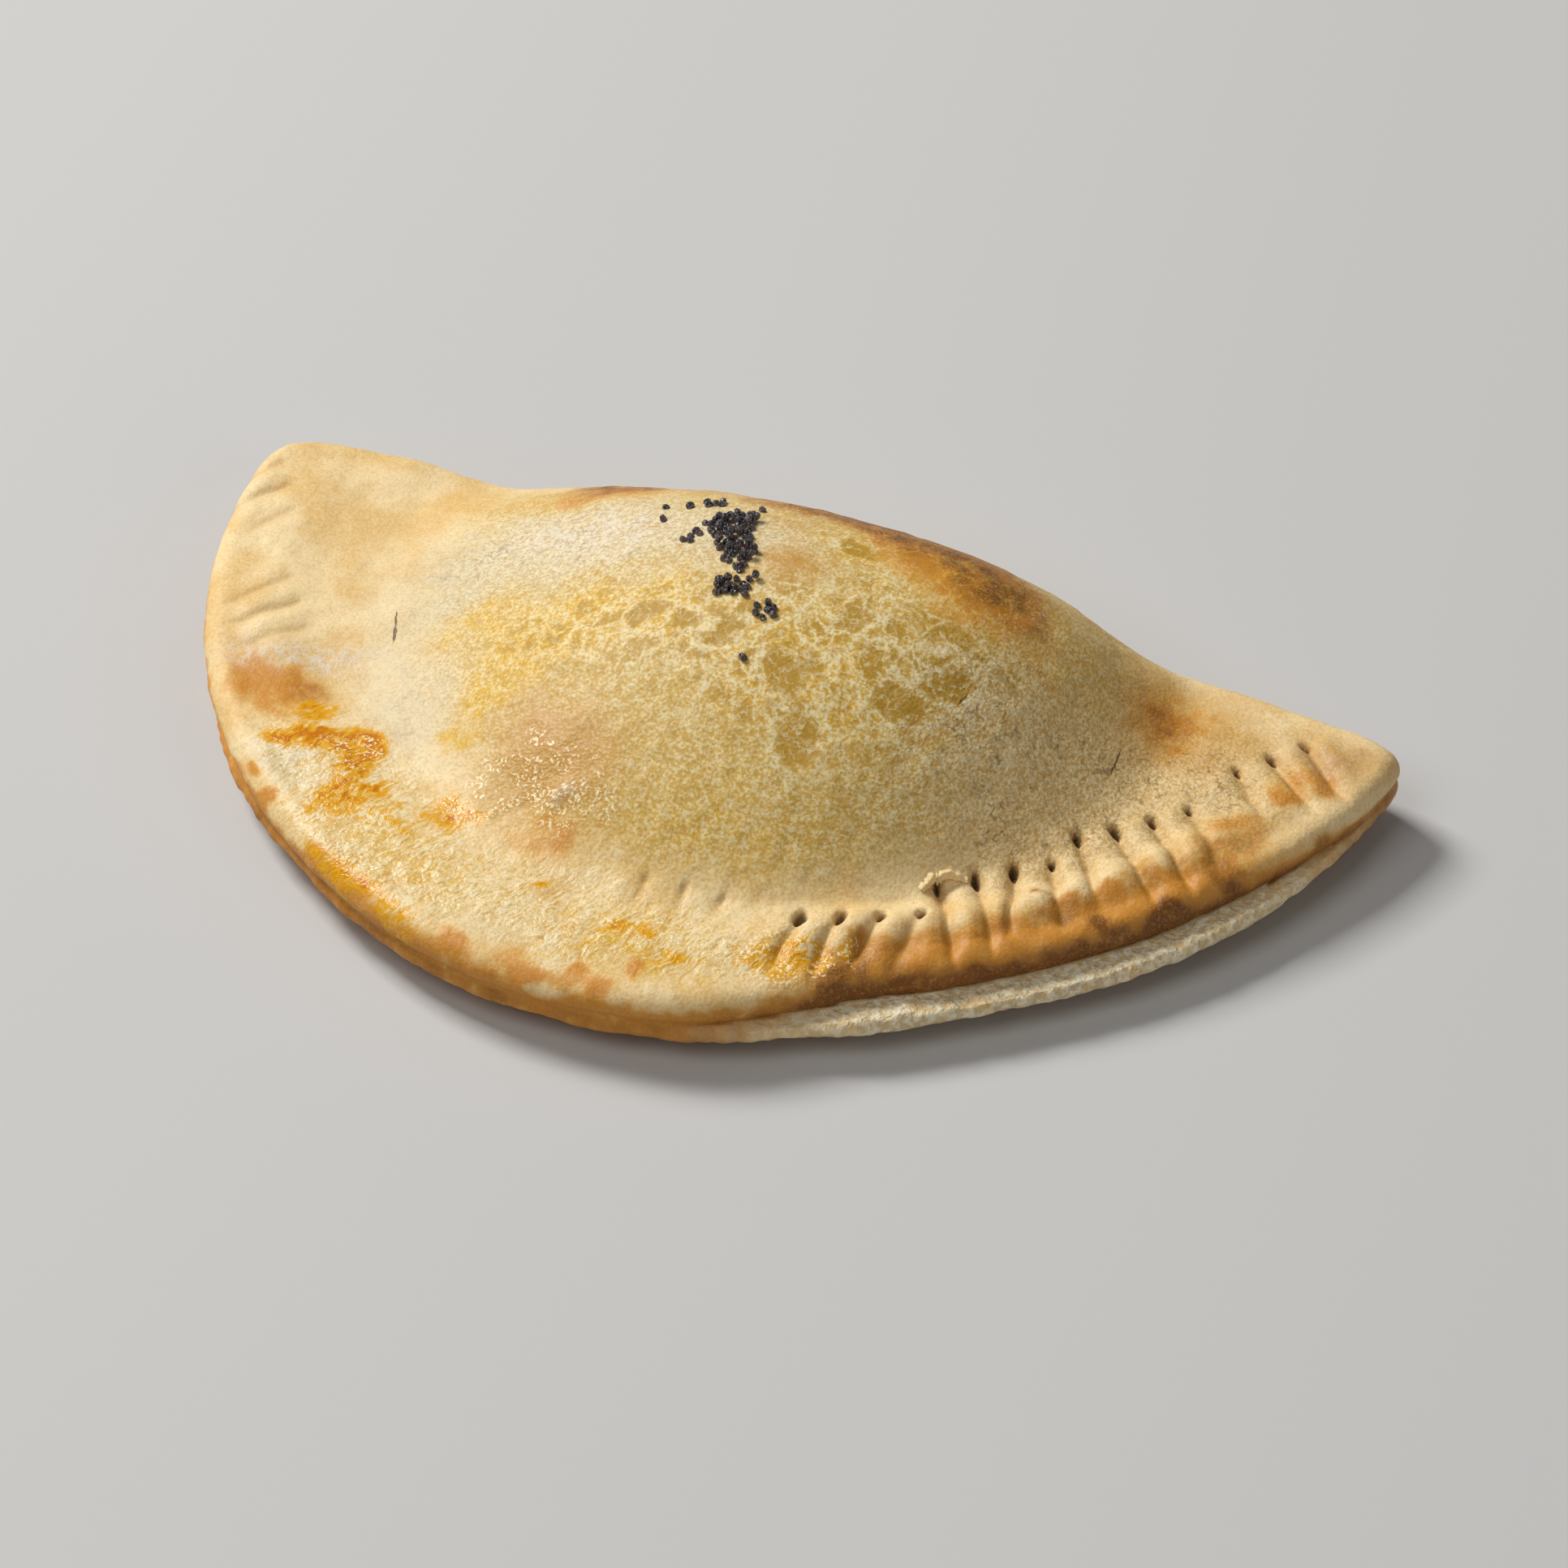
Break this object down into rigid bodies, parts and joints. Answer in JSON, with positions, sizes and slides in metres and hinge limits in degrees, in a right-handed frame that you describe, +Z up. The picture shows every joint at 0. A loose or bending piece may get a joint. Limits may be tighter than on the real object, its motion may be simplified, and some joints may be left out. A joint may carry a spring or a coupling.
{
  "type": "empanada",
  "caption": "Baked half-moon pasty: a domed, folded crust with a fork-crimped rim and a pinch of poppy seeds on its crest.",
  "frame": {"origin": "on the table under the middle of the plan's bounding box", "axes": "+X from tip to tip, +Y towards the folded back, +Z up; the crimped rim is on the -Y side"},
  "size_m": [0.149, 0.082, 0.0281],
  "materials": {
    "baked_crust": null
  },
  "bodies": {
    "root": {"empanada": "baked_crust"}
  },
  "joints": []
}
